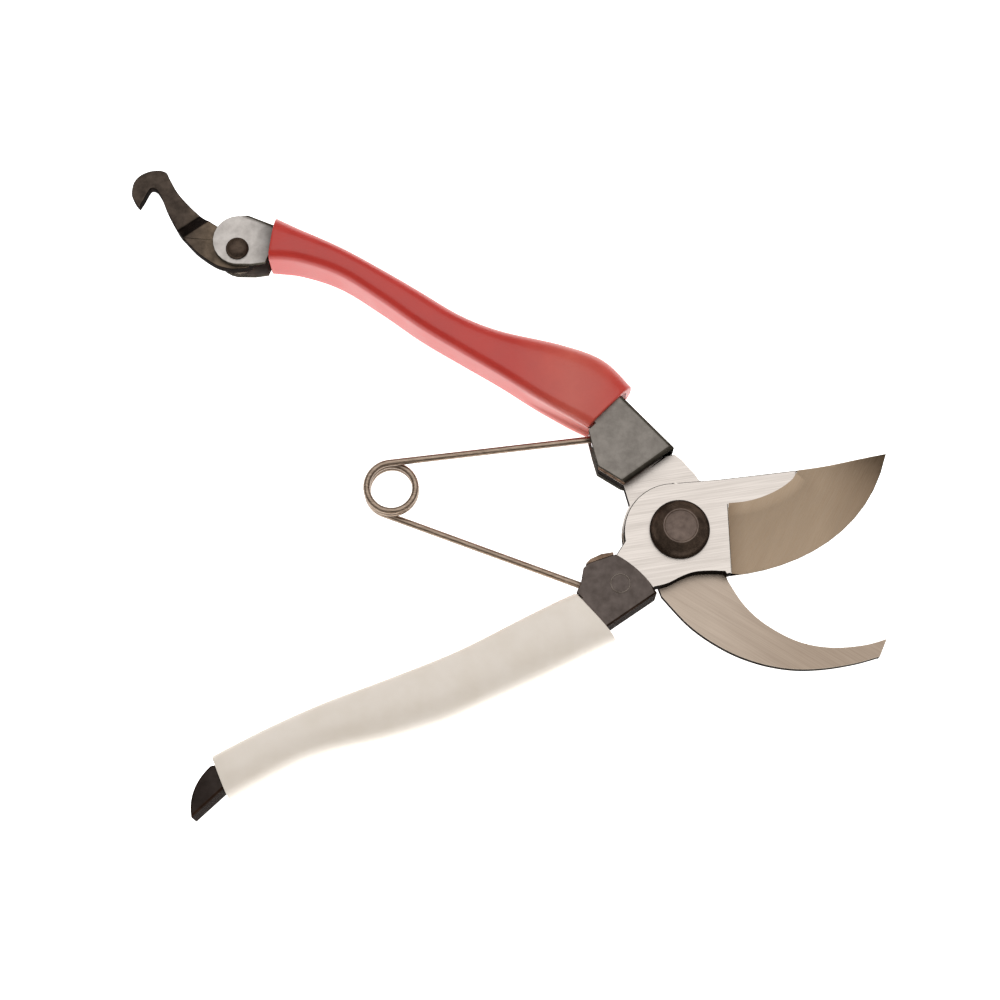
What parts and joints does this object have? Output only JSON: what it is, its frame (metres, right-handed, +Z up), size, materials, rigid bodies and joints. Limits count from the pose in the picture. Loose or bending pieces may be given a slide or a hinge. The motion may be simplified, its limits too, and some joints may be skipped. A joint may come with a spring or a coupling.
{
  "type": "pruning shears",
  "caption": "Bypass pruning shears with a wide cutting blade, hooked counter blade, sleeved steel handles, wire spring and swinging catch hook.",
  "frame": {"origin": "on the axis of the blade pivot, in the plane that the shears lie on, at the middle of the bolt's flush lower end", "axes": "+Z up along the blade pivot and out of the bolt head, +X forward from the pivot towards the blade tips, +Y towards the red handle"},
  "size_m": [0.1976, 0.1728, 0.0161],
  "materials": {
    "ground_blade_steel": "flat ground, dull bevel",
    "ground_counter_steel": "coarse ground",
    "brazed_handle_steel": "heat tinted",
    "blackened_handle_steel": "blackened satin",
    "grey_handle_steel": "dark satin",
    "white_vinyl": "satin vinyl",
    "red_vinyl": "satin vinyl",
    "blackened_fastener_steel": "blackened",
    "spring_steel": "drawn wire"
  },
  "bodies": {
    "cutting_half": {"cutting_blade": "ground_blade_steel", "white_tang_packing": "brazed_handle_steel", "white_handle_shell": "blackened_handle_steel", "white_grip": "white_vinyl", "pivot_bolt": "blackened_fastener_steel", "lock_washer": "spring_steel", "pivot_nut": "blackened_fastener_steel"},
    "counter_half": {"counter_blade": "ground_counter_steel", "red_tang_packing": "brazed_handle_steel", "red_handle_shell": "grey_handle_steel", "red_grip": "red_vinyl", "catch_rivet": "blackened_fastener_steel", "catch_bush": "spring_steel"},
    "catch": {"catch_hook": "blackened_fastener_steel"},
    "spring_lower": {"spring_lower_leg": "spring_steel"},
    "spring_upper": {"spring_upper_leg": "spring_steel"}
  },
  "joints": [
    {"name": "blade_pivot", "type": "hinge", "parent": "cutting_half", "child": "counter_half", "pos_m": [0, 0, 0.008], "axis": [0, 0, 1], "range_deg": [0, 52], "stiffness_Nm_per_rad": 0.5, "springref_deg": -20.05},
    {"name": "catch_pivot", "type": "hinge", "parent": "counter_half", "child": "catch", "pos_m": [-0.1145, 0.0757, 0.0099], "axis": [0, 0, 1], "range_deg": [0, 91]},
    {"name": "spring_lower_pivot", "type": "hinge", "parent": "cutting_half", "child": "spring_lower", "pos_m": [-0.0238, -0.014, 0.008], "axis": [0, 0, 1], "range_deg": [0, 46]},
    {"name": "spring_coil_wind", "type": "hinge", "parent": "spring_lower", "child": "spring_upper", "pos_m": [-0.0735, 0.0117, 0.008], "axis": [0, 0, 1], "range_deg": [-26, 0]}
  ],
  "couplings": [
    {"joint": "spring_lower_pivot", "follows": "blade_pivot", "ratio": 0.868},
    {"joint": "spring_coil_wind", "follows": "blade_pivot", "ratio": -0.476}
  ]
}
